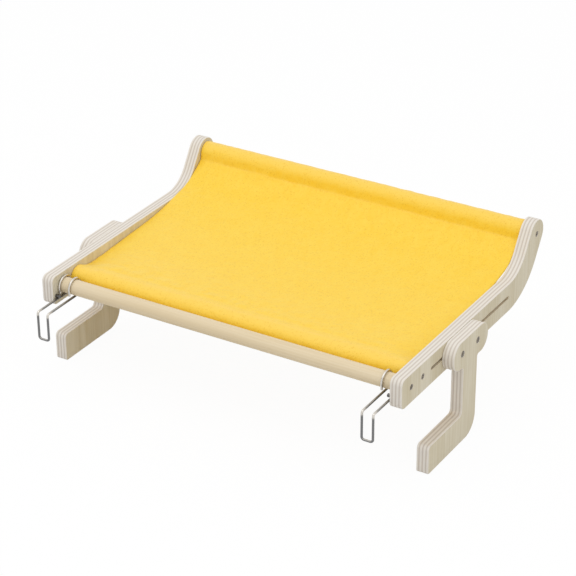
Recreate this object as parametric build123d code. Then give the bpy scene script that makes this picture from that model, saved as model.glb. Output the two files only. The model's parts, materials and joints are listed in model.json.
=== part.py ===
from build123d import *
import math
import os

# A cat hammock for a window sill. Two plywood rails carry three dowels and a cloth sling, two
# plywood legs grip the sill from below, and two wire hooks catch the window frame.
# X runs along the sill, +Y from the window into the room, +Z up. The origin is the room-side top
# edge of the sill, midway between the rails. Sizes are in millimetres and angles in degrees.
# "along" is a distance behind the front dowel's axis, and "up" a height above the bolt line.

# Whole frame
inner_width = 481.0
ply_thickness = 16.0
dowel_radius = 10.0
dowel_reach = 101.4
bolt_line_height = 21.0
edge_ease = 0.6
corner_room_share = 0.8
cut_overrun = 2.0

# Side rails
rail_height = 39.3
rail_front_overhang = 23.6
rail_corner_radius = 8.0
rail_bend_radius = 50.0
rail_rise_angle = 57.0
rail_tip_radius = 19.0

# Dowel places
sling_dowel_along = 28.0
rear_dowel_along = 329.8
rear_dowel_up = 55.2

# Slot for the leg bolts, with the nut channel behind it
slot_front_along = 48.2
slot_length = 206.0
slot_width = 4.4
channel_depth = 5.0
channel_clearance = 0.2

# Legs
leg_running_gap = 0.2
leg_head_along = 120.2
leg_head_drop = 1.0
leg_head_spacing = 52.8
leg_head_radius = 18.7
shaft_width = 36.4
foot_length = 121.1
foot_height = 38.4
sill_gap = 65.5
heel_radius = 25.0
toe_top_radius = 6.0
toe_bottom_radius = 3.0
inner_bend_radius = 6.0
head_front_fillet = 6.0
head_rear_fillet = 3.0

# Bolts, inserts and nuts
bolt_radius = 2.0
bolt_hole_clearance = 0.2
thread_clearance = 0.05
hex_socket_width = 3.0
hex_socket_depth = 2.2
bolt_chamfer = 0.4
head_recess = 0.3
head_clearance = 0.3
dowel_bolt_head_radius = 3.6
dowel_bolt_head_height = 4.0
dowel_bolt_length = 26.0
leg_bolt_head_radius = 4.25
leg_bolt_head_height = 4.0
leg_bolt_along = 98.0
leg_bolt_spacing = 40.0
leg_bolt_end_depth = 0.8
insert_radius = 4.0
insert_length = 15.0
insert_clearance = 0.05
nut_width = 7.0
nut_thickness = 3.2

# Sling
cloth_thickness = 3.5
pocket_clearance = 0.3
sling_side_gap = 0.6
front_seam_distance = 23.6
front_seam_angle = 4.0
rear_seam_distance = 15.4
rear_seam_angle = 215.0
seam_length = 5.0
seam_groove_radius = 1.2
hem_length = 9.0
sling_low_share = 0.58
sling_low_sag = 18.1
sling_rise_share = 0.876
sling_rise_sag = 15.6
run_share = 0.45

# Hooks and their stop pins
wire_radius = 1.5
loop_clearance = 0.7
loop_rest_gap = 0.3
loop_end_angle = 185.0
loop_tail_length = 6.0
hook_rail_gap = 0.3
hook_width = 14.9
hook_reach = 58.0
hook_drop = 37.1
hook_arm_bend_radius = 3.0
hook_corner_radius = 3.5
stop_radius = 2.3
stop_ahead = 17.1
stop_proud = 5.8
stop_depth = 10.0
stop_gap = 0.3
stop_clearance = 0.05
stop_chamfer = 0.4

# Planes and places that several pieces share
rail_inner_x = inner_width / 2
rail_outer_x = rail_inner_x + ply_thickness
leg_inner_x = rail_outer_x + leg_running_gap
leg_outer_x = leg_inner_x + ply_thickness
loop_radius = dowel_radius + loop_clearance + wire_radius


def at(along, up):
    """A point of the side view, as (Y, Z)."""
    return Vector(along - dowel_reach, up + bolt_line_height)


def polar(length, angle):
    return Vector(length, 0).rotate(Axis.Z, angle)


front_dowel = at(0, 0)
sling_dowel = at(sling_dowel_along, 0)
rear_dowel = at(rear_dowel_along, rear_dowel_up)
dowel_points = [front_dowel, sling_dowel, rear_dowel]
leg_bolt_points = [at(leg_bolt_along + n * leg_bolt_spacing, 0) for n in range(2)]
hook_axis = at(0, loop_rest_gap - loop_clearance)
stop_point = hook_axis + Vector(-stop_ahead, stop_radius + stop_gap + wire_radius - loop_radius)


def disc(point, radius):
    return Pos(point.X, point.Y) * Circle(radius)


def slab(outline, low_x, high_x):
    """A side-view outline made solid from low_x to high_x."""
    return extrude(Plane.YZ.offset(low_x) * outline, high_x - low_x)


def rod(point, radius, low_x, high_x):
    """A round rod along X through a point of the side view."""
    return slab(disc(point, radius), low_x, high_x)


def rounded(outline, corner, radius):
    """Round one corner of an outline, as far as the shorter of its two edges allows."""
    vertex = outline.vertices().sort_by_distance(corner)[0]
    edges = [e for e in outline.edges() if vertex in e.vertices()]
    away = [e.center() - vertex.center() for e in edges]
    room = min(e.length for e in edges) * corner_room_share
    room *= math.tan(math.radians(away[0].get_angle(away[1]) / 2))
    return fillet(vertex, min(radius, room))


def eased(plate):
    """Take the sharp edge off both faces of a plywood plate."""
    faces = plate.faces().sort_by(Axis.X)
    return chamfer([e for f in (faces[0], faces[-1]) for e in f.outer_wire().edges()], edge_ease)


def rail_outline():
    """A bar that bends up behind the sill and ends in a round tip on the rear dowel's axis."""
    rise = polar(1, rail_rise_angle)
    across = polar(rail_tip_radius, rail_rise_angle + 90)
    upper_tip = rear_dowel + across
    lower_tip = rear_dowel - across
    upper_bend = upper_tip - rise * ((upper_tip.Y - rail_height) / rise.Y)
    lower_bend = lower_tip - rise * (lower_tip.Y / rise.Y)
    front = front_dowel.X - rail_front_overhang
    front_top = Vector(front, rail_height)
    front_bottom = Vector(front, 0)
    corners = [front_bottom, lower_bend, lower_tip, upper_tip, upper_bend, front_top]
    bar = make_face(Polyline(*corners, close=True))
    bar = rounded(bar, upper_bend, rail_bend_radius)
    bar = rounded(bar, lower_bend, rail_bend_radius + rail_height)
    bar = rounded(bar, front_top, rail_corner_radius)
    bar = rounded(bar, front_bottom, rail_corner_radius)
    return bar + disc(rear_dowel, rail_tip_radius)


def bolt_seat(point, face_x, head_radius, head_height):
    """Counterbore and hole for a bolt that goes in from the face at face_x."""
    floor_x = face_x - head_height - head_recess
    low_x = face_x - ply_thickness - cut_overrun
    counterbore = rod(point, head_radius + head_clearance, floor_x, face_x + cut_overrun)
    return counterbore + rod(point, bolt_radius + bolt_hole_clearance, low_x, floor_x)


def slot_cut():
    """The slot that the leg bolts run in, and the wider channel behind it for their nuts."""
    middle = at(slot_front_along + slot_length / 2, 0)
    channel_width = nut_width + 2 * channel_clearance
    channel_length = slot_length - slot_width + 2 * channel_width
    slot = Pos(middle.X, middle.Y) * SlotOverall(slot_length, slot_width)
    channel = Pos(middle.X, middle.Y) * SlotOverall(channel_length, channel_width)
    low_x = rail_inner_x - cut_overrun
    return slab(slot, low_x, rail_outer_x + cut_overrun) + slab(channel, low_x, rail_inner_x + channel_depth)


def rail():
    plate = eased(slab(rail_outline(), rail_inner_x, rail_outer_x)) - slot_cut()
    for point in dowel_points:
        plate -= bolt_seat(point, rail_outer_x, dowel_bolt_head_radius, dowel_bolt_head_height)
    low_x = rail_inner_x - cut_overrun
    return plate - rod(stop_point, stop_radius + stop_clearance, low_x, rail_inner_x + stop_depth)


def leg_outline():
    """An oblong head, a shaft down the sill's edge and a foot forward under the sill."""
    head = at(leg_head_along, -leg_head_drop)
    foot_top = -sill_gap
    foot_bottom = foot_top - foot_height
    toe = shaft_width - foot_length
    inner_bend = Vector(0, foot_top)
    toe_top = Vector(toe, foot_top)
    toe_bottom = Vector(toe, foot_bottom)
    heel = Vector(shaft_width, foot_bottom)
    corners = [Vector(0, head.Y), inner_bend, toe_top, toe_bottom, heel, Vector(shaft_width, head.Y)]
    shaft = make_face(Polyline(*corners, close=True))
    outline = shaft + Pos(head.X, head.Y) * SlotCenterToCenter(leg_head_spacing, 2 * leg_head_radius)
    outline = rounded(outline, inner_bend, inner_bend_radius)
    outline = rounded(outline, toe_top, toe_top_radius)
    outline = rounded(outline, toe_bottom, toe_bottom_radius)
    outline = rounded(outline, heel, heel_radius)
    outline = rounded(outline, Vector(0, head.Y - leg_head_radius), head_front_fillet)
    return rounded(outline, Vector(shaft_width, head.Y - leg_head_radius), head_rear_fillet)


def leg():
    plate = eased(slab(leg_outline(), leg_inner_x, leg_outer_x))
    for point in leg_bolt_points:
        plate -= bolt_seat(point, leg_outer_x, leg_bolt_head_radius, leg_bolt_head_height)
    return plate


def bolt(point, face_x, head_radius, head_height, end_x):
    """A socket-head bolt just below the face at face_x, with its end at end_x."""
    top_x = face_x - head_recess
    neck_x = top_x - head_height
    head = rod(point, head_radius, neck_x, top_x)
    head = chamfer(head.faces().sort_by(Axis.X)[-1].edges(), bolt_chamfer)
    shank = rod(point, bolt_radius, end_x, neck_x)
    shank = chamfer(shank.faces().sort_by(Axis.X)[0].edges(), bolt_chamfer)
    hexagon = Pos(point.X, point.Y) * RegularPolygon(hex_socket_width / 2, 6, major_radius=False)
    return head + shank - slab(hexagon, top_x - hex_socket_depth, top_x + cut_overrun)


def dowel_bolts():
    end_x = rail_outer_x - head_recess - dowel_bolt_length
    return [bolt(p, rail_outer_x, dowel_bolt_head_radius, dowel_bolt_head_height, end_x)
            for p in dowel_points]


def leg_bolts():
    end_x = rail_inner_x + leg_bolt_end_depth
    return [bolt(p, leg_outer_x, leg_bolt_head_radius, leg_bolt_head_height, end_x)
            for p in leg_bolt_points]


def leg_nuts():
    """Square nuts against the channel's floor, threaded on the leg bolts."""
    high_x = rail_inner_x + channel_depth - channel_clearance
    low_x = high_x - nut_thickness
    blanks = [slab(Pos(p.X, p.Y) * Rectangle(nut_width, nut_width), low_x, high_x)
              for p in leg_bolt_points]
    return [blank - rod(p, bolt_radius + thread_clearance, low_x - cut_overrun, high_x + cut_overrun)
            for blank, p in zip(blanks, leg_bolt_points)]


def dowel_inserts():
    """Threaded sleeves in the dowels' ends."""
    low_x = rail_inner_x - insert_length
    return [rod(p, insert_radius, low_x, rail_inner_x)
            - rod(p, bolt_radius + thread_clearance, low_x - cut_overrun, rail_inner_x + cut_overrun)
            for p in dowel_points]


def dowel(point):
    """A round rod from rail to rail, bored at both ends for its inserts."""
    low_x = rail_inner_x - insert_length
    bore = rod(point, insert_radius + insert_clearance, low_x, rail_inner_x + cut_overrun)
    return rod(point, dowel_radius, -rail_inner_x, rail_inner_x) - bore - mirror(bore, Plane.YZ)


def hook_stop():
    """A steel pin in the rail's inner face that keeps the hook's outer arm from swinging up."""
    pin = rod(stop_point, stop_radius, rail_inner_x - stop_proud, rail_inner_x + stop_depth)
    return chamfer(pin.faces().sort_by(Axis.X)[0].edges(), stop_chamfer)


def hook_loop(x):
    """Where one end of the hook's wire hangs on the dowel, from below it round to the tail."""
    plane = Plane.YZ.offset(x)
    arc = CenterArc(hook_axis, loop_radius, -90, loop_end_angle + 90)
    end = arc @ 1
    tail = Line(end, end + (arc % 1) * loop_tail_length)
    return [plane * arc, plane * tail]


def hook():
    """One bent wire: two loops over the dowel, two arms forward and a U that hangs down."""
    outer_x = rail_inner_x - hook_rail_gap - wire_radius
    inner_x = outer_x - hook_width
    arm_start = hook_axis - Vector(0, loop_radius)
    arm_end = arm_start - Vector(hook_reach, 0)
    bottom = arm_end - Vector(0, hook_drop)
    down = [Vector(outer_x, p.X, p.Y) for p in (arm_start, arm_end, bottom)]
    up = [Vector(inner_x, p.X, p.Y) for p in (bottom, arm_end, arm_start)]
    radii = [hook_arm_bend_radius, hook_corner_radius, hook_corner_radius, hook_arm_bend_radius]
    front = FilletPolyline(*down, *up, radius=radii)
    outer_end = hook_loop(outer_x)
    inner_end = hook_loop(inner_x)
    path = Wire([e for line in outer_end + [front] + inner_end for e in line.edges()])
    section = Plane(origin=path @ 0, z_dir=path % 0) * Circle(wire_radius)
    return sweep(section, path=path)


def soft_path(points):
    """Straight runs joined by tangent arcs, each as large as its two runs allow."""
    radii = []
    for before, corner, after in zip(points, points[1:], points[2:]):
        half_turn = (corner - before).get_angle(after - corner) / 2
        reach = min((corner - before).length, (after - corner).length) * run_share
        radii.append(reach / math.tan(math.radians(half_turn)))
    return FilletPolyline(*points, radius=radii)


def pocket(dowel_point, seam):
    """A drop-shaped loop of cloth round a dowel, sewn shut at the seam, as (cloth, space)."""
    inner_radius = dowel_radius + pocket_clearance
    to_seam = seam - dowel_point
    tip = seam - to_seam.normalized() * seam_length
    cloth = disc(dowel_point, inner_radius + cloth_thickness) + disc(seam, cloth_thickness / 2)
    space = disc(dowel_point, inner_radius) + disc(tip, pocket_clearance)
    return make_hull(cloth.edges()), make_hull(space.edges())


def turned_up(direction, angle):
    """The direction turned by the angle, to whichever side ends up higher."""
    return max((direction.rotate(Axis.Z, turn) for turn in (angle, -angle)), key=lambda v: v.Y)


def seam_groove(dowel_point, seam, toward):
    """The groove along the crease where a pocket meets the upper face of the sling."""
    to_seam = seam - dowel_point
    lean = math.degrees(math.acos((dowel_radius + pocket_clearance + cloth_thickness / 2) / to_seam.length))
    pocket_face = turned_up(to_seam.normalized(), lean)
    sling_face = turned_up((toward - seam).normalized(), 90)
    out = (pocket_face + sling_face).normalized()
    return disc(seam + out * (cloth_thickness + seam_groove_radius) / 2, seam_groove_radius)


def hem(seam, toward):
    """The end of the cloth, turned under the sling behind the seam."""
    along = (toward - seam).normalized()
    start = seam - turned_up(along, 90) * cloth_thickness
    return trace(Line(start, start + along * hem_length), cloth_thickness)


def sling():
    """One thick cloth with a sewn pocket at each end, sagging between the two sling dowels."""
    front_seam = sling_dowel + polar(front_seam_distance, front_seam_angle)
    rear_seam = rear_dowel + polar(rear_seam_distance, rear_seam_angle)
    span = rear_seam - front_seam
    low = front_seam + span * sling_low_share - Vector(0, sling_low_sag)
    rise = front_seam + span * sling_rise_share - Vector(0, sling_rise_sag)
    profile = trace(soft_path([front_seam, low, rise, rear_seam]), cloth_thickness)
    for dowel_point, seam, toward in ((sling_dowel, front_seam, low), (rear_dowel, rear_seam, rise)):
        cloth, space = pocket(dowel_point, seam)
        profile = profile + hem(seam, toward) + cloth - space
        profile -= seam_groove(dowel_point, seam, toward)
    half = rail_inner_x - sling_side_gap
    return slab(profile, -half, half)


def main():
    pairs = {
        "rail": [rail()],
        "leg": [leg()],
        "hook": [hook()],
        "hook_stop": [hook_stop()],
        "dowel_bolts": dowel_bolts(),
        "dowel_inserts": dowel_inserts(),
        "leg_bolts": leg_bolts(),
        "leg_nuts": leg_nuts(),
    }
    nodes = {
        "front_dowel": [dowel(front_dowel)],
        "sling_front_dowel": [dowel(sling_dowel)],
        "sling_rear_dowel": [dowel(rear_dowel)],
        "sling": [sling()],
    }
    for name, shapes in pairs.items():
        nodes["right_" + name] = shapes
        nodes["left_" + name] = [mirror(shape, Plane.YZ) for shape in shapes]
    os.makedirs("parts", exist_ok=True)
    for name, shapes in nodes.items():
        solids = [solid for shape in shapes for solid in shape.solids()]
        export_step(Compound(solids), f"parts/{name}.step")


main()
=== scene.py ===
"""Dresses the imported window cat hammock: plywood, dowels, a plush sling, hooks, bolts and a pale stage."""

import json
import math

import bpy
import numpy as np
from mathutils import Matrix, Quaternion, Vector, noise


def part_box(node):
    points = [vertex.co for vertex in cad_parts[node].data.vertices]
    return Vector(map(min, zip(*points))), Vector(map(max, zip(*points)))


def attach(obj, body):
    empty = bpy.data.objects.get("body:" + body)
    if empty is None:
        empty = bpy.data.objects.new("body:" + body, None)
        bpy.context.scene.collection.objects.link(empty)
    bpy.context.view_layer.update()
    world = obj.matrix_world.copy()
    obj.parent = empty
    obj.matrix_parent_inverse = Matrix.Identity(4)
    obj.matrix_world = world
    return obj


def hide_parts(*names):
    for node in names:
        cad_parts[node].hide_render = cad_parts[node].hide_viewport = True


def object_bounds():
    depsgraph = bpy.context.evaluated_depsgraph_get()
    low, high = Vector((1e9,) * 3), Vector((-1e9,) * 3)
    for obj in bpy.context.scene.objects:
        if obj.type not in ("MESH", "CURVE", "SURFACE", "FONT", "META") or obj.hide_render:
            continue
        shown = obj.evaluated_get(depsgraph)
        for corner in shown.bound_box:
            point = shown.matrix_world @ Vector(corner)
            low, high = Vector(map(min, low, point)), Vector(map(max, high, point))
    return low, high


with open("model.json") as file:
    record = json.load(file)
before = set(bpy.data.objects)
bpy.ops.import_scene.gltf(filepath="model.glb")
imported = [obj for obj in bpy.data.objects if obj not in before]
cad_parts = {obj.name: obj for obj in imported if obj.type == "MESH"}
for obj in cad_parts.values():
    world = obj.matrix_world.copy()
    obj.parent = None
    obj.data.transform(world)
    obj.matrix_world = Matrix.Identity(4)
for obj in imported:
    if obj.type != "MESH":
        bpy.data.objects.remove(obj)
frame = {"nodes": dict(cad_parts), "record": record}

bl_info = {
    "name": "Window Cat Hammock",
    "version": (1, 0, 0),
    "blender": (4, 5, 0),
    "location": "View3D > Sidebar > Hammock",
    "description": "Dresses a window-sill cat hammock with wood, plush, steel and a pale studio",
    "category": "Object",
}

MM = 0.001
CAD_LOW, CAD_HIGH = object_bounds()
SIDES = ("left", "right")
WHITE = (1, 1, 1, 1)

# Patterns in the materials, in cycles per metre along X, Y and Z
PLY_WANDER = (60, 60, 60)
PLY_FIBRE = (2600, 130, 130)
PLY_PORES = (1500, 1300, 1300)
DOWEL_GRAIN = (7, 420, 420)
DOWEL_FIGURE = (2.5, 60, 60)
METAL_CLOUDS = (220, 220, 220)
METAL_MARKS = (900, 900, 900)
PLUSH_PITS = (700, 540, 700)
PLUSH_TUFTS = (420, 330, 420)
PLUSH_NAP = (170, 120, 170)
PLUSH_BRUSHED = (60, 42, 60)
THREAD_STRANDS = (3600, 1400, 1400)

# Patterns in the veneer, in cycles per metre along its grain and across it
VENEER_GRAIN = (9, 260)
VENEER_FIGURE = (3, 34)

# Spans of those patterns, in which a colour or a roughness goes from one end to the other
NOISE_SPAN = (0.3, 0.7)
FIGURE_SPAN = (0.40, 0.62)
FIBRE_SPAN = (0.3, 0.75)
PORE_SPAN = (0.35, 0.7)
CLOUD_SPAN = (0.35, 0.7)
PILE_SPAN = (0.38, 0.62)
TUFT_GAP_SPAN = (0.43, 0.30)
PIT_SPAN = (0.355, 0.265)
STRAND_SPAN = (0.4, 0.6)

# Plywood: how far a ply wanders, as a share of the thickness, and how strongly its fibres and pores show
PLY_DRIFT = 0.012
PLY_CONTRAST = 0.5

# Where in the plies' wave a dark ply and a glue line start and are full, and how squarely veneer faces X
DARK_SPAN = (0.1, -0.7)
GLUE_SPAN = (0.2, 0.0)
FACE_SPAN = (0.80, 0.92)

# Hooks' painted reflections: where the bright loops and bends fade in, up from the dowel's underside and
# inwards from the drops
LOOP_FADE = (-1.5 * MM, 3 * MM)
BEND_FADE = (-9 * MM, -5 * MM)
OUTER_FADE = (12 * MM, 5 * MM)

# Their arms' painted shade: how far from the drops it starts, how far before the dowel's middle it is
# darkest, and how much of the bright tone their upward side keeps as painted light
ARM_DARKENS = 22 * MM
ARM_DARKEST = 4 * MM
WIRE_TOP_SPAN = (0.25, 0.95)
WIRE_TOP_SHINE = 0.6

# Metal: how much its roughness varies, and how deep behind the bolts' faces the sockets turn bright with
# painted light
GLOSS_SPREAD = (0.8, 1.25)
SOCKET_FADE = (-0.2 * MM, -0.4 * MM)

# Pile: how strongly the gaps between tufts show, and how much the tufts add to its relief
TUFT_GAPS = 0.5
TUFT_RELIEF = 0.7

# Painted light on the pile over a dowel: none where it leans this far into the room or further, it fades in
# over the fade below that lean, and it is paler the further up it faces
UNLIT_LEAN = {"sling_front_dowel": 0.22, "sling_rear_dowel": 1.0}
LIT_FADE = 0.2
LIT_UP_SPAN = (0.15, 1)

# How much of its brightness the thread keeps between its strands
STRAND_SHADE = 0.8

# Unevenness of the cloth, in layers: cycles per metre across and along the sling, a seed, and a share
GATHERS = ((105, 40, 0, 0.6), (38, 40, 5, 0.9), (165, 40, 9, 0.5))
LUMPS = ((70, 70, 8, 1.0), (170, 170, 11, 0.6))
WAVES = ((9, 13, 2, 1.0),)

# How much higher the lumps are at a seam, and how soon the waves grow to their full height beyond it
DRAWN_GAIN = 1.4
WAVE_GAIN = 2.5

# How many points the mesh has round the cloth's side edges, and at least round its soft corners
EDGE_STEPS = 5
CORNER_STEPS = 4

# Where the rounding of a hem's cut end starts, as a share of half the cloth's thickness
HEM_END = 0.1

# A stitch's sides, and its shape: place in half lengths, thickness and depth in radii of the thread
STITCH_SIDES = 6
STITCH_SHAPE = ((-1, 0.4, 1.8), (-0.7, 0.9, 0.9), (0, 1, 0.6), (0.7, 0.9, 0.9), (1, 0.4, 1.8))


def linear(*srgb):
    """An sRGB colour, written 0 to 255, in the linear values that Blender's colours hold."""
    return tuple((c / 255 / 12.92) if c <= 10 else ((c / 255 + 0.055) / 1.055) ** 2.4 for c in srgb)


def colour_property(name, description, default):
    return bpy.props.FloatVectorProperty(
        name=name, description=description, subtype="COLOR", size=3, min=0, max=1, default=default)


def length_property(name, description, default):
    return bpy.props.FloatProperty(name=name, description=description, unit="LENGTH", default=default)


def place_property(name, description, default):
    return bpy.props.FloatVectorProperty(
        name=name, description=description, subtype="TRANSLATION", unit="LENGTH", size=3, default=default)


def share_property(name, description, default):
    return bpy.props.FloatProperty(name=name, description=description, min=0, max=1, default=default)


def angle_property(name, description, degrees):
    return bpy.props.FloatProperty(
        name=name, description=description, subtype="ANGLE", default=math.radians(degrees))


class HammockWood(bpy.types.PropertyGroup):
    """Plywood and dowels."""

    face_light: colour_property("Face", "Light veneer on the plywood's faces", linear(222, 213, 190))
    face_dark: colour_property("Face grain", "Dark streaks in the face veneer", linear(208, 196, 166))
    ply_light: colour_property("Light plies", "Long-grain plies on cut edges", linear(237, 231, 224))
    ply_dark: colour_property("Dark plies", "Cross-grain plies on cut edges", linear(209, 199, 191))
    glue: colour_property("Glue", "Glue lines between the plies", linear(120, 104, 88))
    glue_show: share_property("Glue lines", "How strongly the glue lines show", 0.16)
    # Painted shade on the walls inside the slots
    slot_shade: colour_property("Slot wall", "Wood scorched by the cutter in the slots", linear(210, 196, 170))
    plies: bpy.props.IntProperty(name="Plies", description="How many plies the plywood has", default=7, min=3)
    dowel_light: colour_property("Dowel", "Body of the bare wooden dowel", linear(233, 216, 184))
    dowel_dark: colour_property("Dowel grain", "Fine grain of the dowel", linear(224, 204, 167))


class HammockSling(bpy.types.PropertyGroup):
    """Cloth, pockets and stitches."""

    cloth: colour_property("Cloth", "Plush pile, seen straight on", linear(255, 214, 54))
    cloth_deep: colour_property("Deep pile", "Plush pile, seen between its tufts", linear(254, 208, 28))
    cloth_gap: colour_property("Gaps", "The small gaps where the pile parts", linear(236, 186, 12))
    # Painted light: paler pile on the upward sides of the pockets over the dowels
    cloth_lit: colour_property("Opened pile", "Pile that opens over a dowel", linear(255, 212, 76))
    sheen: colour_property("Sheen", "Soft light on the tips of the pile", linear(255, 242, 200))
    thread: colour_property("Thread", "Sewing thread in the pocket seams", linear(252, 208, 66))
    thickness: length_property("Thickness", "Thickness of the cloth with its pile", 3.6 * MM)
    pocket_play: length_property("Pocket play", "Gap between a dowel and its pocket", 0.6 * MM)
    front_seam: length_property("Front seam", "From the front dowel's middle to its pocket's seam", 23.6 * MM)
    front_seam_angle: angle_property("Front seam angle", "Front seam's angle above +Y, seen along -X", 4.0)
    rear_seam: length_property("Rear seam", "From the rear dowel's middle to its pocket's seam", 15.4 * MM)
    rear_seam_angle: angle_property("Rear seam angle", "Rear seam's angle above +Y, seen along -X", 215.0)
    low_share: share_property("Low point", "How far along the sling its lowest point lies", 0.58)
    low_sag: length_property("Low sag", "How far the low point hangs under the seams' line", 18.1 * MM)
    rise_share: share_property("Rise point", "How far along the sling its rear turns up", 0.876)
    rise_sag: length_property("Rise sag", "How far the rise point hangs under the seams' line", 15.6 * MM)
    corner_share: share_property("Softness", "How much of a run its soft corner takes up", 0.45)
    front_crease: length_property("Front crease", "How far the front seam's soft crease reaches", 13 * MM)
    rear_crease: length_property("Rear crease", "How far the rear seam's crease reaches", 3 * MM)
    fold: length_property("Fold", "How far the tighter creases under the seams reach", 2.4 * MM)
    seam_thickness: length_property("Seam", "Thickness of each layer where it is sewn", 3.4 * MM)
    seam_drop: length_property("Seam drop", "How far the thread draws the two layers down", 0.3 * MM)
    lift: length_property("Seam length", "From a seam to the cloth's full thickness", 5 * MM)
    hem: length_property("Hem", "Length of cloth turned under behind each seam", 9 * MM)
    edge: length_property("Edge", "How far the cut side edges are rounded", 0.9 * MM)
    side_pile: length_property("Side pile", "How far the pile stands out past the side edges", 0.35 * MM)
    pucker: length_property("Gathers", "Height of the small gathers beside the seams", 1.0 * MM)
    pucker_reach: length_property("Gather length", "How far the gathers reach from a seam", 10 * MM)
    front_rise: length_property("Front rise", "How far the front seam rises between the sides", 6.5 * MM)
    rise_front: length_property("Rise in front", "How far that rise reaches over the dowel", 16 * MM)
    rise_below: length_property("Rise below", "How far it reaches on the pocket's underside", 9 * MM)
    rise_behind: length_property("Rise behind", "How far it reaches towards the sling's middle", 42 * MM)
    rise_reach: length_property("Rise length", "How far from a side edge the seam takes to rise", 24 * MM)
    lump: length_property("Lumps", "Height of the small unevenness all over the pile", 0.22 * MM)
    drawn_reach: length_property("Drawn reach", "How far from a seam the lumps are higher", 45 * MM)
    wave: length_property("Waves", "Height of the broad unevenness of the cloth", 0.5 * MM)
    grid: length_property("Mesh", "Size of the cloth's mesh", 2.8 * MM)
    stitch: length_property("Stitch", "Length of one stitch", 2.6 * MM)
    stitch_pitch: length_property("Stitch pitch", "Distance from one stitch to the next", 3.5 * MM)
    thread_width: length_property("Thread width", "Diameter of the thread", 0.4 * MM)


class HammockMetal(bpy.types.PropertyGroup):
    """Hooks, pins, bolts, nuts and inserts."""

    # The hooks' wire has one finish; these tones paint its reflections: bright loops and bends, painted shade
    # on the drops and arms
    wire: colour_property("Wire", "Bright wire of the hooks' loops and bends", linear(208, 203, 195))
    wire_drop_shade: colour_property("Dull wire", "Duller plating of the hooks' drops", linear(122, 122, 122))
    wire_arm_shade: colour_property("Dark wire", "Dark plating of the hooks' arms", linear(62, 56, 50))
    pin: colour_property("Pins", "Dark steel of the hook stops", linear(100, 98, 97))
    nut: colour_property("Nuts", "Plated steel of the square nuts", linear(186, 186, 188))
    bolt: colour_property("Bolts", "Coated steel of the bolts", linear(128, 121, 112))
    # Painted light: a bright tone that lifts the shade in the bolts' sockets
    socket_light: colour_property("Sockets", "Bare steel in the bolts' sockets", linear(225, 218, 205))
    insert: colour_property("Inserts", "Brass of the threaded inserts", linear(214, 180, 110))


class HammockStage(bpy.types.PropertyGroup):
    """Floor, lamps and camera."""

    azimuth: angle_property("Azimuth", "Camera's angle round the hammock", 31.42)
    elevation: angle_property("Elevation", "Camera's angle above the horizon", 28.085)
    roll: angle_property("Roll", "Camera's turn about its own view", -0.358)
    distance: length_property("Distance", "From the camera to its target", 2.67135)
    target: place_property("Target", "Point the camera looks at", (0, 46.74 * MM, 12.63 * MM))
    lens: bpy.props.FloatProperty(
        name="Lens", description="Camera's focal length on a 36 mm sensor", subtype="DISTANCE_CAMERA",
        default=132.16)
    sight: length_property("Sight", "How far the camera sees", 100.0)
    sky: bpy.props.FloatProperty(name="Sky", description="Strength of the even white light", default=0.8)
    key: bpy.props.FloatProperty(name="Key lamp", description="Overhead lamp's power, in watts", default=7)
    key_size: length_property("Key size", "Side of the overhead lamp", 1.6)
    key_place: place_property(
        "Key place", "From the hammock's middle to the overhead lamp", (-0.35, -0.45, 1.7))
    fill: bpy.props.FloatProperty(name="Fill lamp", description="Side lamp's power, in watts", default=2.4)
    fill_size: length_property("Fill size", "Side of the side lamp", 1.4)
    fill_place: place_property("Fill place", "From the hammock's middle to the side lamp", (1.5, -0.5, 1.1))
    floor: colour_property("Floor", "Pale floor, as it lights the wood", (0.75, 0.75, 0.75))
    floor_seen: colour_property("Floor seen", "The floor as the camera and metal see it", (1, 1, 1))
    floor_white: share_property("Floor white", "How much plain white covers the floor's shading", 0.95)
    floor_size: length_property("Floor size", "Side of the square floor", 12.0)
    floor_gap: length_property("Floor gap", "From the lowest point of the legs to the floor", 0.2 * MM)


def add(tree, kind, inputs=None, **settings):
    """Add a shader node. inputs maps its sockets to values, or to other nodes' sockets."""
    made = tree.nodes.new(kind)
    for name, value in settings.items():
        setattr(made, name, value)
    for key, value in (inputs or {}).items():
        if isinstance(value, bpy.types.NodeSocket):
            tree.links.new(value, made.inputs[key])
        else:
            made.inputs[key].default_value = value
    return made


def rgba(colour):
    return (*colour, 1)


def empty_tree(holder):
    """The cleared node tree of a material or a world."""
    holder.use_nodes = True
    holder.node_tree.nodes.clear()
    return holder.node_tree


def start_material(name, **constants):
    """A new material with a Principled shader, and its constants set on the shader itself."""
    made = bpy.data.materials.new(name)
    tree = empty_tree(made)
    shader = add(tree, "ShaderNodeBsdfPrincipled", {k.replace("_", " "): v for k, v in constants.items()})
    add(tree, "ShaderNodeOutputMaterial", {"Surface": shader.outputs[0]})
    return made, tree, shader


def axes(tree, vector):
    """A vector's X, Y and Z."""
    return add(tree, "ShaderNodeSeparateXYZ", {0: vector}).outputs


def math_node(tree, operation, first, second=0.0):
    return add(tree, "ShaderNodeMath", {0: first, 1: second}, operation=operation).outputs[0]


def weighted(tree, first, *others):
    """The sum of some values, each given with its weight."""
    total = math_node(tree, "MULTIPLY", *first)
    for other in others:
        total = math_node(tree, "ADD", total, math_node(tree, "MULTIPLY", *other))
    return total


def map_range(tree, value, low, high, new_low=0.0, new_high=1.0, smooth=False):
    kind = "SMOOTHSTEP" if smooth else "LINEAR"
    sockets = {"Value": value, "From Min": low, "From Max": high, "To Min": new_low, "To Max": new_high}
    return add(tree, "ShaderNodeMapRange", sockets, interpolation_type=kind).outputs[0]


def fade(tree, value, start, ends):
    """0 to 1 from one end to the other; both ends are counted from start."""
    return map_range(tree, value, start + ends[0], start + ends[1], smooth=True)


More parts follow.
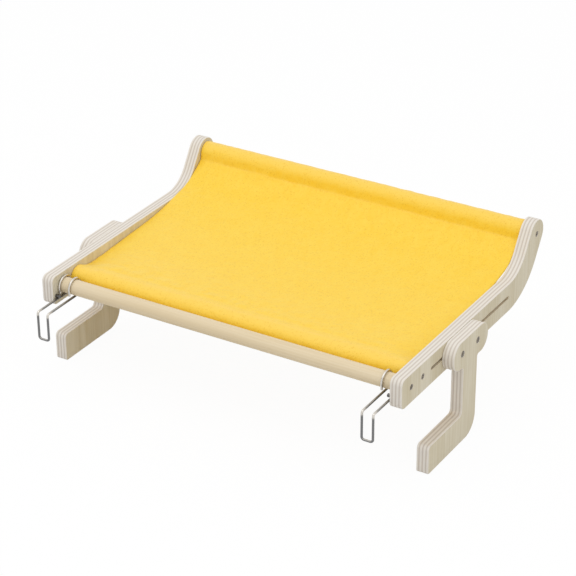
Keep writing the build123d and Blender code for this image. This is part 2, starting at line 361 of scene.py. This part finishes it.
def mix_colour(tree, factor, first, second):
    """A mix of two colours, whose sockets on the node are 6 and 7, and 2 for the result."""
    sockets = {0: factor, 6: first, 7: second}
    return add(tree, "ShaderNodeMix", sockets, data_type="RGBA").outputs[2]


def streaks(tree, position, scales, detail=3.0, roughness=0.55):
    """Noise stretched along the axes whose scale, in cycles per metre, is low."""
    scaled = add(tree, "ShaderNodeVectorMath", {0: position, 1: scales}, operation="MULTIPLY").outputs[0]
    sockets = {"Vector": scaled, "Scale": 1.0, "Detail": detail, "Roughness": roughness}
    return add(tree, "ShaderNodeTexNoise", sockets).outputs[0]


def vary_roughness(tree, shader, pattern, low, high):
    """Roughness that follows a pattern, from low to high."""
    tree.links.new(map_range(tree, pattern, *NOISE_SPAN, low, high), shader.inputs["Roughness"])


def bump(tree, shader, height, distance, strength):
    made = add(tree, "ShaderNodeBump", {"Height": height, "Distance": distance, "Strength": strength})
    tree.links.new(made.outputs[0], shader.inputs["Normal"])


def inside_box(tree, position, middle, half):
    """1 inside a box along Y and Z, given by its middle and its half sides, and 0 outside it."""
    _, y, z = axes(tree, position)
    inside = 1.0
    for place, centre, reach in zip((y, z), middle, half):
        away = math_node(tree, "ABSOLUTE", math_node(tree, "SUBTRACT", place, centre))
        inside = math_node(tree, "MULTIPLY", math_node(tree, "LESS_THAN", away, reach), inside)
    return inside


def ply_edges(tree, position, inner_x, thickness):
    """The colour of the plywood's cut edges, and their pores: light and dark plies with glue between."""
    wood = bpy.context.scene.hammock_wood
    across = math_node(tree, "ABSOLUTE", axes(tree, position)[0])
    depth = map_range(tree, across, inner_x, inner_x + thickness)
    wander = streaks(tree, position, PLY_WANDER, detail=1.0)
    depth = math_node(tree, "ADD", depth, map_range(tree, wander, 0, 1, -PLY_DRIFT, PLY_DRIFT))
    # The wave is above 0 in a light ply, below 0 in a dark one, and 0 at the glue between them
    wave = math_node(tree, "SINE", math_node(tree, "MULTIPLY", depth, math.pi * wood.plies))
    is_dark = map_range(tree, wave, *DARK_SPAN, smooth=True)
    is_glue = map_range(tree, math_node(tree, "ABSOLUTE", wave), *GLUE_SPAN, new_high=wood.glue_show)
    fibre = streaks(tree, position, PLY_FIBRE)
    pores = streaks(tree, position, PLY_PORES, detail=2.0)
    in_fibre = map_range(tree, fibre, *FIBRE_SPAN, new_high=PLY_CONTRAST)
    in_pores = map_range(tree, pores, *PORE_SPAN, new_high=PLY_CONTRAST)
    light = mix_colour(tree, in_fibre, rgba(wood.ply_light), rgba(wood.face_light))
    dark = mix_colour(tree, in_pores, rgba(wood.ply_dark), rgba(wood.face_dark))
    plies = mix_colour(tree, is_dark, light, dark)
    return mix_colour(tree, is_glue, plies, rgba(wood.glue)), pores


def plywood(name, inner_x, thickness, grain, slot=None):
    """Plywood that stands across X: veneer on its faces, plies on cut edges, and painted shade on the walls
    of a slot.
    """
    wood = bpy.context.scene.hammock_wood
    made, tree, shader = start_material(name)
    coords = add(tree, "ShaderNodeTexCoord")
    position = coords.outputs["Object"]
    facing = math_node(tree, "ABSOLUTE", axes(tree, coords.outputs["Normal"])[0])
    is_face = map_range(tree, facing, *FACE_SPAN)

    edge, pores = ply_edges(tree, position, inner_x, thickness)
    if slot:
        # Painted shade on the walls inside the slot
        edge = mix_colour(tree, inside_box(tree, position, *slot), edge, rgba(wood.slot_shade))

    def veneer(along, across, **settings):
        scales = tuple(along if axis == grain else across for axis in "XYZ")
        return streaks(tree, position, scales, **settings)

    fine = veneer(*VENEER_GRAIN, detail=4.0, roughness=0.6)
    wide = veneer(*VENEER_FIGURE, detail=2.0)
    figure = map_range(tree, weighted(tree, (fine, 0.5), (wide, 0.5)), *FIGURE_SPAN)
    face = mix_colour(tree, figure, rgba(wood.face_light), rgba(wood.face_dark))

    tree.links.new(mix_colour(tree, is_face, edge, face), shader.inputs["Base Color"])
    vary_roughness(tree, shader, fine, low=0.56, high=0.70)
    bump(tree, shader, mix_colour(tree, is_face, pores, fine), distance=0.12 * MM, strength=0.5)
    return made


def dowel_wood(name):
    """Pale turned wood with its fine grain along X."""
    wood = bpy.context.scene.hammock_wood
    made, tree, shader = start_material(name)
    position = add(tree, "ShaderNodeTexCoord").outputs["Object"]
    fine = streaks(tree, position, DOWEL_GRAIN, detail=4.0, roughness=0.6)
    wide = streaks(tree, position, DOWEL_FIGURE, detail=2.0)
    figure = map_range(tree, weighted(tree, (fine, 0.45), (wide, 0.55)), *FIGURE_SPAN)
    colour = mix_colour(tree, figure, rgba(wood.dowel_light), rgba(wood.dowel_dark))
    tree.links.new(colour, shader.inputs["Base Color"])
    vary_roughness(tree, shader, fine, low=0.48, high=0.62)
    bump(tree, shader, fine, distance=0.08 * MM, strength=0.4)
    return made


def hook_tone(tree, coords, tone):
    """Painted reflections: bright loops over the dowel, arms that darken beside it, bright bends and duller
    drops.
    """
    metal = bpy.context.scene.hammock_metal
    dowel, radius = side_view("front_dowel")
    underside = dowel[1] - radius
    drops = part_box("right_hook")[0].y
    _, y, z = axes(tree, coords.outputs["Object"])
    facing_up = axes(tree, coords.outputs["Normal"])[2]

    loops = fade(tree, z, underside, LOOP_FADE)
    high, outside = fade(tree, z, underside, BEND_FADE), fade(tree, y, drops, OUTER_FADE)
    bends = math_node(tree, "MULTIPLY", high, outside)
    # Painted shade on the arms beside the dowel
    dowel_side_shade = map_range(tree, y, drops + ARM_DARKENS, dowel[0] - ARM_DARKEST, smooth=True)
    # Painted light on the wire's upward sides
    top_light = map_range(tree, facing_up, *WIRE_TOP_SPAN, new_high=WIRE_TOP_SHINE)

    plain = mix_colour(tree, dowel_side_shade, rgba(metal.wire_drop_shade), rgba(metal.wire_arm_shade))
    plain = mix_colour(tree, top_light, plain, tone)
    return mix_colour(tree, math_node(tree, "MAXIMUM", loops, bends), plain, tone)


def socket_tone(face_x):
    """A tone for bolts whose face is at face_x: painted light brightens the shade in their sockets."""
    mouth, bright = (face_x + depth for depth in SOCKET_FADE)

    def shade(tree, coords, tone):
        x = axes(tree, coords.outputs["Object"])[0]
        # Painted light deeper in the socket
        inside = map_range(tree, math_node(tree, "ABSOLUTE", x), mouth, bright)
        return mix_colour(tree, inside, tone, rgba(bpy.context.scene.hammock_metal.socket_light))
    return shade


def steel(name, colour, roughness, wear, shade=None):
    """Metal whose gloss and tone vary a little; shade paints light and shade into the tone from place to
    place.
    """
    made, tree, shader = start_material(name, Metallic=1.0)
    coords = add(tree, "ShaderNodeTexCoord")
    position = coords.outputs["Object"]
    clouds = streaks(tree, position, METAL_CLOUDS)
    marks = streaks(tree, position, METAL_MARKS, detail=2.0)
    worn = tuple(min(1.0, c * (1 + wear)) for c in colour)
    tone = mix_colour(tree, map_range(tree, clouds, *CLOUD_SPAN), rgba(colour), rgba(worn))
    if shade:
        tone = shade(tree, coords, tone)
    tree.links.new(tone, shader.inputs["Base Color"])
    vary_roughness(tree, shader, marks, *(roughness * spread for spread in GLOSS_SPREAD))
    bump(tree, shader, marks, distance=0.02 * MM, strength=0.3)
    return made


def painted_light_over_dowels(tree, coords):
    """1 where painted light pales the top of the cloth over a dowel, and 0 on its flat parts and underside.
    """
    sling = bpy.context.scene.hammock_sling
    _, y, z = axes(tree, coords.outputs["Object"])
    _, backward, upward = axes(tree, coords.outputs["Normal"])
    lit = 0.0
    for node, lean in UNLIT_LEAN.items():
        middle, radius = side_view(node)
        surface = radius + sling.pocket_play + sling.thickness
        sides = [math_node(tree, "SUBTRACT", place, at) for place, at in zip((y, z), middle)]
        squares = [math_node(tree, "MULTIPLY", side, side) for side in sides]
        away = math_node(tree, "SQRT", math_node(tree, "ADD", *squares))
        near = map_range(tree, away, surface + sling.lift, surface + sling.edge, smooth=True)
        lit_side = map_range(tree, backward, lean, lean - LIT_FADE)
        lit = math_node(tree, "MAXIMUM", math_node(tree, "MULTIPLY", near, lit_side), lit)
    return math_node(tree, "MULTIPLY", lit, map_range(tree, upward, *LIT_UP_SPAN))


def plush(name):
    """Short dense pile: fine tufts with small gaps, a soft nap, and a broad gloss and sheen on the tips."""
    sling = bpy.context.scene.hammock_sling
    made, tree, shader = start_material(
        name, Roughness=0.5, Specular_IOR_Level=0.6, Sheen_Weight=0.45, Sheen_Roughness=0.5,
        Sheen_Tint=rgba(sling.sheen))
    coords = add(tree, "ShaderNodeTexCoord")
    position = coords.outputs["Object"]
    tufts = streaks(tree, position, PLUSH_TUFTS, detail=2.0)
    nap = streaks(tree, position, PLUSH_NAP, detail=2.0)
    brushed = streaks(tree, position, PLUSH_BRUSHED, detail=2.0)
    pile = weighted(tree, (tufts, 0.3), (nap, 0.4), (brushed, 0.3))
    colour = mix_colour(tree, map_range(tree, pile, *PILE_SPAN), rgba(sling.cloth_deep), rgba(sling.cloth))
    # Painted light: paler pile on the upward sides over the dowels
    colour = mix_colour(tree, painted_light_over_dowels(tree, coords), colour, rgba(sling.cloth_lit))
    pits = streaks(tree, position, PLUSH_PITS, detail=1.0)
    between_tufts = map_range(tree, tufts, *TUFT_GAP_SPAN, new_high=TUFT_GAPS)
    gaps = math_node(tree, "MAXIMUM", between_tufts, map_range(tree, pits, *PIT_SPAN))
    tree.links.new(mix_colour(tree, gaps, colour, rgba(sling.cloth_gap)), shader.inputs["Base Color"])
    relief = math_node(tree, "ADD", pile, math_node(tree, "MULTIPLY", tufts, TUFT_RELIEF))
    bump(tree, shader, relief, distance=0.9 * MM, strength=0.35)
    return made


def thread(name):
    """Twisted sewing thread, a little deeper in colour between its strands."""
    sling = bpy.context.scene.hammock_sling
    made, tree, shader = start_material(name, Roughness=0.6, Sheen_Weight=0.2)
    position = add(tree, "ShaderNodeTexCoord").outputs["Object"]
    strands = streaks(tree, position, THREAD_STRANDS, detail=1.0)
    deep = tuple(c * STRAND_SHADE for c in sling.thread)
    colour = mix_colour(tree, map_range(tree, strands, *STRAND_SPAN), rgba(deep), rgba(sling.thread))
    tree.links.new(colour, shader.inputs["Base Color"])
    bump(tree, shader, strands, distance=0.05 * MM, strength=0.6)
    return made


def dress(node, material):
    """Give a CAD node its material."""
    mesh = frame["nodes"][node].data
    mesh.materials.clear()
    mesh.materials.append(material)


def side_view(node):
    """A CAD node's middle, as (Y, Z), and half its height."""
    low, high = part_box(node)
    middle = (low + high) / 2
    return np.array([middle.y, middle.z]), (high.z - low.z) / 2


def polar(length, angle):
    return length * np.array([math.cos(angle), math.sin(angle)])


def tangent_point(centre, radius, point, turn):
    """Where a line from point touches the circle; turn is 1 or -1 for the side that it passes."""
    to_point = point - centre
    spread = math.acos(radius / np.linalg.norm(to_point)) * turn
    return centre + polar(radius, math.atan2(to_point[1], to_point[0]) + spread)


def arc(centre, start, end, step):
    """Points on the circle round centre, clockwise from start to end."""
    radius = np.linalg.norm(start - centre)
    first, last = (math.atan2(y, x) for x, y in (start - centre, end - centre))
    sweep = (first - last) % (2 * math.pi)
    return [centre + polar(radius, first - a) for a in np.linspace(0, sweep, round(sweep * radius / step))]


def rounded(points, reaches, step):
    """Straight runs with their corners rounded, each over its reach along both of its runs."""
    line = [points[0]]
    for before, corner, after, reach in zip(points, points[1:], points[2:], reaches):
        start = corner + (before - corner) * reach / np.linalg.norm(before - corner)
        end = corner + (after - corner) * reach / np.linalg.norm(after - corner)
        for t in np.linspace(0, 1, max(CORNER_STEPS, round(2 * reach / step))):
            line.append((1 - t) ** 2 * start + 2 * t * (1 - t) * corner + t ** 2 * end)
    return line + [points[-1]]


def lengths_along(line):
    """How far along the line each of its points lies."""
    return np.concatenate([[0], np.cumsum(np.linalg.norm(np.diff(line, axis=0), axis=1))])


def even(line, step):
    """The same line with its points about one step apart."""
    line = np.array(line)
    gaps = np.linalg.norm(np.diff(line, axis=0), axis=1)
    line = line[np.concatenate([[True], gaps > 0])]
    along = lengths_along(line)
    where = np.linspace(0, along[-1], round(along[-1] / step) + 1)
    return np.stack([np.interp(where, along, line[:, k]) for k in (0, 1)], axis=1)


def nearness(line, place, reach):
    """1 for a point of the line at the place, and less the further away it is, in reaches."""
    return np.exp(-(np.linalg.norm(line - place, axis=1) / reach) ** 2)


def unevenness(x, y, layers):
    """The height of some layers of noise at one point of the cloth, from about -1 to 1."""
    return sum(share * noise.noise(Vector((x * across, y * along, seed)))
               for across, along, seed, share in layers)


class Seam:
    """One pocket's seam: its place, the way along the sling from it, and the cloth's layers there."""

    def __init__(self, place, toward, rise, sling):
        self.place = place
        self.rise = rise
        self.along = (toward - place) / np.linalg.norm(toward - place)
        across = np.array([-self.along[1], self.along[0]])
        self.up = across if across[1] > 0 else -across
        self.top = place + self.up * (sling.seam_thickness / 2 - sling.seam_drop)
        self.under = place - self.up * (sling.seam_thickness / 2 + sling.seam_drop)
        below = place - self.up * sling.thickness
        self.hem = [below + self.along * reach for reach in (sling.lift, sling.hem)]


def sling_line(step):
    """The cloth's middle line in side view, from one hem to the other, and its two seams."""
    sling = bpy.context.scene.hammock_sling
    front, radius = side_view("sling_front_dowel")
    rear, _ = side_view("sling_rear_dowel")
    loop = radius + sling.pocket_play + sling.thickness / 2
    starts = front + polar(sling.front_seam, sling.front_seam_angle)
    ends = rear + polar(sling.rear_seam, sling.rear_seam_angle)
    low = starts + (ends - starts) * sling.low_share - np.array([0, sling.low_sag])
    rise = starts + (ends - starts) * sling.rise_share - np.array([0, sling.rise_sag])
    first, last = Seam(starts, low, sling.front_rise, sling), Seam(ends, rise, 0, sling)
    front_over = tangent_point(front, loop, first.top, 1)
    front_below = tangent_point(front, loop, first.under, -1)
    rear_over = tangent_point(rear, loop, last.top, -1)
    rear_below = tangent_point(rear, loop, last.under, 1)
    folds = [sling.fold, sling.fold]
    low_reach = sling.corner_share * np.linalg.norm(rise - low)
    rise_reach = sling.corner_share * np.linalg.norm(last.top - rise)
    line = rounded([first.hem[1], first.hem[0], first.under, front_below], folds, step)
    line += arc(front, front_below, front_over, step)
    panel = [front_over, first.top, low, rise, last.top, rear_over]
    line += rounded(panel, [sling.front_crease, low_reach, rise_reach, sling.rear_crease], step)
    line += arc(rear, rear_over, rear_below, step)
    line += rounded([rear_below, last.under, last.hem[0], last.hem[1]], folds, step)
    return even(line, step), (first, last)


def seam_offsets(line, xs, seam):
    """How far one seam's gathers and its rise lift each point of the cloth, as (line, X)."""
    sling = bpy.context.scene.hammock_sling
    behind = (line - seam.place) @ seam.along > 0
    below = (line - seam.place) @ seam.up < 0
    toward_dowel = np.where(below, sling.rise_below, sling.rise_front)
    near = nearness(line, seam.place, sling.pucker_reach)
    around = nearness(line, seam.place, np.where(behind, sling.rise_behind, toward_dowel))
    puckers = sling.pucker * np.array([unevenness(x, seam.place[0], GATHERS) for x in xs])
    to_side = (np.abs(xs).max() - np.abs(xs)) / sling.rise_reach
    rise = seam.rise * (1 - np.exp(-to_side ** 2))
    return near[:, None] * puckers + around[:, None] * rise


def waves_and_lumps(line, along, faces_up, xs, seams):
    """How far waves and lumps move each point of the cloth along its normal, as (line, X)."""
    sling = bpy.context.scene.hammock_sling
    start, end = (seam.place[0] for seam in seams)
    panel = np.clip((line[:, 0] - start) * (end - line[:, 0]), 0, None)
    panel = np.clip(panel / panel.max() * WAVE_GAIN, 0, 1) * faces_up
    waves = np.array([[unevenness(x, y, WAVES) for x in xs] for y in line[:, 0]])
    lumps = np.array([[unevenness(x, y, LUMPS) for x in xs] for y in along])
    drawn = 1 + DRAWN_GAIN * sum(nearness(line, seam.place, sling.drawn_reach) for seam in seams)
    return sling.wave * panel[:, None] * waves + sling.lump * drawn[:, None] * lumps


def layer_thickness(line, along, seams):
    """The cloth's thickness along its line: thinner where it is sewn, and rounded off at both ends."""
    sling = bpy.context.scene.hammock_sling
    pinch = sum(nearness(line, seam.place, sling.lift) for seam in seams)
    thick = sling.thickness - (sling.thickness - sling.seam_thickness) * np.clip(pinch, 0, 1)
    to_end = np.minimum(along, along[-1] - along) / (sling.thickness / 2)
    return thick * np.sqrt(1 - (1 - np.clip(to_end, HEM_END, 1)) ** 2)


def cross_section(half_width):
    """One ring round the cloth: each point's X, and how far it leans out and up, from -1 to 1."""
    sling = bpy.context.scene.hammock_sling
    inner = half_width - sling.edge
    xs = np.linspace(-inner, inner, round(2 * inner / sling.grid) + 1)
    turn = np.linspace(math.pi / 2, -math.pi / 2, EDGE_STEPS + 2)[1:-1]
    base = np.concatenate([xs, np.full(EDGE_STEPS, inner), xs[::-1], np.full(EDGE_STEPS, -inner)])
    out = np.concatenate([0 * xs, np.cos(turn), 0 * xs, -np.cos(turn)])
    height = np.concatenate([0 * xs + 1, np.sin(turn), 0 * xs - 1, -np.sin(turn)])
    return base, out, height


def sling_surface():
    """The cloth as rings of points round its thickness, one ring for each step along its line."""
    sling = bpy.context.scene.hammock_sling
    line, seams = sling_line(sling.grid / 2)
    along = lengths_along(line)
    tangent = np.gradient(line, axis=0)
    tangent /= np.linalg.norm(tangent, axis=1)[:, None]
    normal = np.stack([-tangent[:, 1], tangent[:, 0]], axis=1)
    thick = layer_thickness(line, along, seams)
    base, out, height = cross_section(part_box("sling")[1].x + sling.side_pile)

    uneven = waves_and_lumps(line, along, normal[:, 1] > 0, base, seams)
    shift = normal[:, None, :] * uneven[:, :, None]
    for seam in seams:
        shift = shift + seam.up * seam_offsets(line, base, seam)[:, :, None]

    points = np.zeros((len(line), len(base), 3))
    points[:, :, 0] = base + out * thick[:, None] * sling.edge / sling.thickness
    half_layer = (height * thick[:, None] / 2)[:, :, None]
    points[:, :, 1:] = line[:, None, :] + normal[:, None, :] * half_layer + shift
    return points, line, along[-1], seams


def ring_faces(rings, around):
    """Quads between neighbouring rings, and caps that join each end ring's top to its underside."""
    ring, spot = np.meshgrid(np.arange(rings - 1) * around, np.arange(around), indexing="ij")
    here, beside = ring + spot, ring + (spot + 1) % around
    quads = np.stack([here, beside, beside + around, here + around], axis=-1)
    faces = quads.reshape(-1, 4).tolist()
    wide = around // 2 - EDGE_STEPS
    first_under = wide + EDGE_STEPS
    last = (rings - 1) * around
    # The first ring's caps are turned round, so that both ends face outwards
    for base, order in ((0, -1), (last, 1)):
        for n in range(wide - 1):
            under = first_under + wide - 1 - n
            cap = [base + n, base + n + 1, base + under - 1, base + under]
            faces.append(cap[::order])
        right = [base + wide - 1 + n for n in range(EDGE_STEPS + 2)]
        left = [base + (first_under + wide - 1 + n) % around for n in range(EDGE_STEPS + 2)]
        faces += [right[::order], left[::order]]
    return faces


def mesh_object(name, points, faces, material):
    mesh = bpy.data.meshes.new(name)
    mesh.from_pydata(np.asarray(points).reshape(-1, 3).tolist(), [], faces)
    mesh.validate()
    mesh.polygons.foreach_set("use_smooth", [True] * len(mesh.polygons))
    mesh.materials.append(material)
    made = bpy.data.objects.new(name, mesh)
    bpy.context.scene.collection.objects.link(made)
    return made


def stitch(middle, outward):
    """Points and faces of one stitch, a short bead along X whose two ends dip into the cloth."""
    sling = bpy.context.scene.hammock_sling
    radius = sling.thread_width / 2
    points, faces = [], []
    for along, size, dip in STITCH_SHAPE:
        centre = middle + np.array([along * sling.stitch / 2, 0, 0]) - outward * dip * radius
        for n in range(STITCH_SIDES):
            side = polar(radius * size, 2 * math.pi * n / STITCH_SIDES)
            points.append(centre + np.array([0, side[0], side[1]]))
    last = STITCH_SIDES * (len(STITCH_SHAPE) - 1)
    for ring in range(0, last, STITCH_SIDES):
        for n in range(STITCH_SIDES):
            beside = (n + 1) % STITCH_SIDES
            faces.append([ring + n, ring + beside, ring + STITCH_SIDES + beside, ring + STITCH_SIDES + n])
    faces += [list(range(STITCH_SIDES))[::-1], [last + n for n in range(STITCH_SIDES)]]
    return points, faces


def stitches(rings, line, seams, material):
    """The stitches that close both pockets, on top of the cloth and under it."""
    sling = bpy.context.scene.hammock_sling
    wide = rings.shape[1] // 2 - EDGE_STEPS
    points, faces = [], []
    for seam in seams:
        for layer, outward in ((seam.top, seam.up), (seam.under, -seam.up)):
            near = int(np.argmin(np.linalg.norm(line - layer, axis=1)))
            surface = rings[near, :wide]
            end = surface[-1, 0] - sling.stitch
            for x in np.linspace(-end, end, round(2 * end / sling.stitch_pitch) + 1):
                y, z = (np.interp(x, surface[:, 0], surface[:, k]) for k in (1, 2))
                more_points, more_faces = stitch(np.array([x, y, z]), np.array([0, *outward]))
                faces += [[v + len(points) for v in face] for face in more_faces]
                points += more_points
    return mesh_object("sling_stitches", points, faces, material)


def slot_box():
    """The slots' middle and half sides along Y and Z, from the leg bolts that run in them."""
    bolts, head_radius = side_view("right_leg_bolts")
    low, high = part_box("right_leg_bolts")
    slide = next(j for j in frame["record"]["behaviour"]["joints"] if j["name"] == "right_leg_slide")
    start, end = low.y + slide["range_m"][0], high.y + slide["range_m"][1]
    return ((start + end) / 2, bolts[1]), ((end - start) / 2 + head_radius, head_radius)


class HAMMOCK_OT_rails(bpy.types.Operator):
    """Give the two rails their plywood"""

    bl_idname = "hammock.rails"
    bl_label = "Dress rails"

    def execute(self, context):
        low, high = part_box("right_rail")
        wood = plywood("rail_plywood", low.x, high.x - low.x, grain="Z", slot=slot_box())
        for side in SIDES:
            dress(side + "_rail", wood)
        return {"FINISHED"}


class HAMMOCK_OT_legs(bpy.types.Operator):
    """Give the two legs their plywood"""

    bl_idname = "hammock.legs"
    bl_label = "Dress legs"

    def execute(self, context):
        low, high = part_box("right_leg")
        wood = plywood("leg_plywood", low.x, high.x - low.x, grain="Z")
        for side in SIDES:
            dress(side + "_leg", wood)
        return {"FINISHED"}


class HAMMOCK_OT_dowels(bpy.types.Operator):
    """Give the three dowels their turned wood"""

    bl_idname = "hammock.dowels"
    bl_label = "Dress dowels"

    def execute(self, context):
        wood = dowel_wood("dowel_wood")
        for node in ("front_dowel", "sling_front_dowel", "sling_rear_dowel"):
            dress(node, wood)
        return {"FINISHED"}


class HAMMOCK_OT_metal(bpy.types.Operator):
    """Give hooks, pins, bolts, nuts and inserts their metal"""

    bl_idname = "hammock.metal"
    bl_label = "Dress metal parts"

    def execute(self, context):
        metal = context.scene.hammock_metal
        coated = {"colour": metal.bolt, "roughness": 0.5, "wear": 0.15}
        dowel_tone = socket_tone(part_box("right_dowel_bolts")[1].x)
        leg_tone = socket_tone(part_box("right_leg_bolts")[1].x)
        finishes = {
            "hook": steel("hook_wire", metal.wire, roughness=0.26, wear=0.06, shade=hook_tone),
            "hook_stop": steel("pin_steel", metal.pin, roughness=0.3, wear=0.1),
            "dowel_bolts": steel("dowel_bolt_steel", **coated, shade=dowel_tone),
            "leg_bolts": steel("leg_bolt_steel", **coated, shade=leg_tone),
            "dowel_inserts": steel("insert_brass", metal.insert, roughness=0.35, wear=0.1),
            "leg_nuts": steel("nut_steel", metal.nut, roughness=0.38, wear=0.1),
        }
        for side in SIDES:
            for piece, finish in finishes.items():
                dress(f"{side}_{piece}", finish)
        return {"FINISHED"}


class HAMMOCK_OT_sling(bpy.types.Operator):
    """Make the plush sling, its two pockets and their stitches"""

    bl_idname = "hammock.sling"
    bl_label = "Make sling"

    def execute(self, context):
        rings, line, length, seams = sling_surface()
        faces = ring_faces(*rings.shape[:2])
        cloth = mesh_object("plush_sling", rings, faces, plush("plush"))
        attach(cloth, "root")
        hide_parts("sling")
        seam_thread = stitches(rings, line, seams, thread("thread"))
        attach(seam_thread, "root")
        return {"FINISHED"}


def seen_directly(tree):
    """1 for rays from the camera, from a mirror or through glass, and 0 for light that spreads."""
    path = add(tree, "ShaderNodeLightPath")
    rays = [path.outputs["Is Camera Ray"], path.outputs["Is Glossy Ray"], path.outputs["Is Transmission Ray"]]
    return math_node(tree, "MAXIMUM", math_node(tree, "MAXIMUM", rays[0], rays[1]), rays[2])


def pale_floor(name):
    """A pale floor's material: it shades as a floor does, and looks white to the camera and to metal."""
    stage = bpy.context.scene.hammock_stage
    made = bpy.data.materials.new(name)
    tree = empty_tree(made)
    seen = seen_directly(tree)
    pale = mix_colour(tree, seen, rgba(stage.floor), rgba(stage.floor_seen))
    shaded = add(tree, "ShaderNodeBsdfDiffuse", {"Color": pale})
    white = add(tree, "ShaderNodeEmission", {"Color": WHITE, "Strength": 1.0})
    share = math_node(tree, "MULTIPLY", seen, stage.floor_white)
    mixed = add(tree, "ShaderNodeMixShader", {0: share, 1: shaded.outputs[0], 2: white.outputs[0]})
    add(tree, "ShaderNodeOutputMaterial", {"Surface": mixed.outputs[0]})
    return made


def white_world(name):
    """An even white light that looks plain white to the camera."""
    made = bpy.data.worlds.new(name)
    tree = empty_tree(made)
    level = map_range(tree, seen_directly(tree), 0, 1, new_low=bpy.context.scene.hammock_stage.sky)
    sky = add(tree, "ShaderNodeBackground", {"Color": WHITE, "Strength": level})
    add(tree, "ShaderNodeOutputWorld", {"Surface": sky.outputs[0]})
    bpy.context.scene.world = made


def lamp(name, size, power, place, target):
    """A soft square lamp that points at target."""
    data = bpy.data.lights.new(name, "AREA")
    data.shape = "SQUARE"
    data.size = size
    data.energy = power
    made = bpy.data.objects.new(name, data)
    bpy.context.scene.collection.objects.link(made)
    made.location = place
    made.rotation_mode = "QUATERNION"
    made.rotation_quaternion = (target - place).to_track_quat("-Z", "Y")


def aim_camera():
    """A camera at the stage's angles and distance from its target."""
    scene = bpy.context.scene
    stage = scene.hammock_stage
    data = bpy.data.cameras.new("camera")
    camera = bpy.data.objects.new("camera", data)
    scene.collection.objects.link(camera)
    scene.camera = camera
    data.lens = stage.lens
    data.clip_end = stage.sight
    a, e = stage.azimuth, stage.elevation
    back = Vector((math.sin(a) * math.cos(e), -math.cos(a) * math.cos(e), math.sin(e)))
    camera.location = Vector(stage.target) + back * stage.distance
    camera.rotation_mode = "QUATERNION"
    camera.rotation_quaternion = back.to_track_quat("Z", "Y") @ Quaternion((0, 0, 1), stage.roll)


class HAMMOCK_OT_stage(bpy.types.Operator):
    """Set the pale floor, the soft lamps and the camera"""

    bl_idname = "hammock.stage"
    bl_label = "Set stage"

    def execute(self, context):
        stage = context.scene.hammock_stage
        half = stage.floor_size / 2
        drop = CAD_LOW.z - stage.floor_gap
        corners = [(-half, -half, drop), (half, -half, drop), (half, half, drop), (-half, half, drop)]
        floor = mesh_object("floor", corners, [[0, 1, 2, 3]], pale_floor("pale_floor"))
        white_world("pale_studio")
        middle = (CAD_LOW + CAD_HIGH) / 2
        lamp("overhead", stage.key_size, stage.key, middle + Vector(stage.key_place), middle)
        lamp("side", stage.fill_size, stage.fill, middle + Vector(stage.fill_place), middle)
        aim_camera()
        context.scene.view_settings.view_transform = "Standard"
        return {"FINISHED"}


class HAMMOCK_PT_panel(bpy.types.Panel):
    """Sizes, colours and steps of the cat hammock"""

    bl_idname = "HAMMOCK_PT_panel"
    bl_label = "Window Cat Hammock"
    bl_space_type = "VIEW_3D"
    bl_region_type = "UI"
    bl_category = "Hammock"

    def draw(self, context):
        for label, holder, steps in SECTIONS:
            box = self.layout.box()
            box.label(text=label)
            group = getattr(context.scene, holder)
            for name in group.__annotations__:
                box.prop(group, name)
            for step in steps:
                box.operator(step.bl_idname)


GROUPS = {
    "hammock_wood": HammockWood,
    "hammock_sling": HammockSling,
    "hammock_metal": HammockMetal,
    "hammock_stage": HammockStage,
}
SECTIONS = (
    ("Wood", "hammock_wood", (HAMMOCK_OT_rails, HAMMOCK_OT_legs, HAMMOCK_OT_dowels)),
    ("Sling", "hammock_sling", (HAMMOCK_OT_sling,)),
    ("Metal", "hammock_metal", (HAMMOCK_OT_metal,)),
    ("Stage", "hammock_stage", (HAMMOCK_OT_stage,)),
)
STEPS = [step for _, _, steps in SECTIONS for step in steps]


def register():
    for made in (*GROUPS.values(), *STEPS, HAMMOCK_PT_panel):
        bpy.utils.register_class(made)
    for holder, group in GROUPS.items():
        setattr(bpy.types.Scene, holder, bpy.props.PointerProperty(type=group))


def unregister():
    for holder in GROUPS:
        delattr(bpy.types.Scene, holder)
    for made in (HAMMOCK_PT_panel, *reversed(STEPS), *reversed(GROUPS.values())):
        bpy.utils.unregister_class(made)


def main():
    register()
    bpy.ops.hammock.rails()
    bpy.ops.hammock.legs()
    bpy.ops.hammock.dowels()
    bpy.ops.hammock.metal()
    bpy.ops.hammock.sling()
    bpy.ops.hammock.stage()


if __name__ == "__main__":
    main()
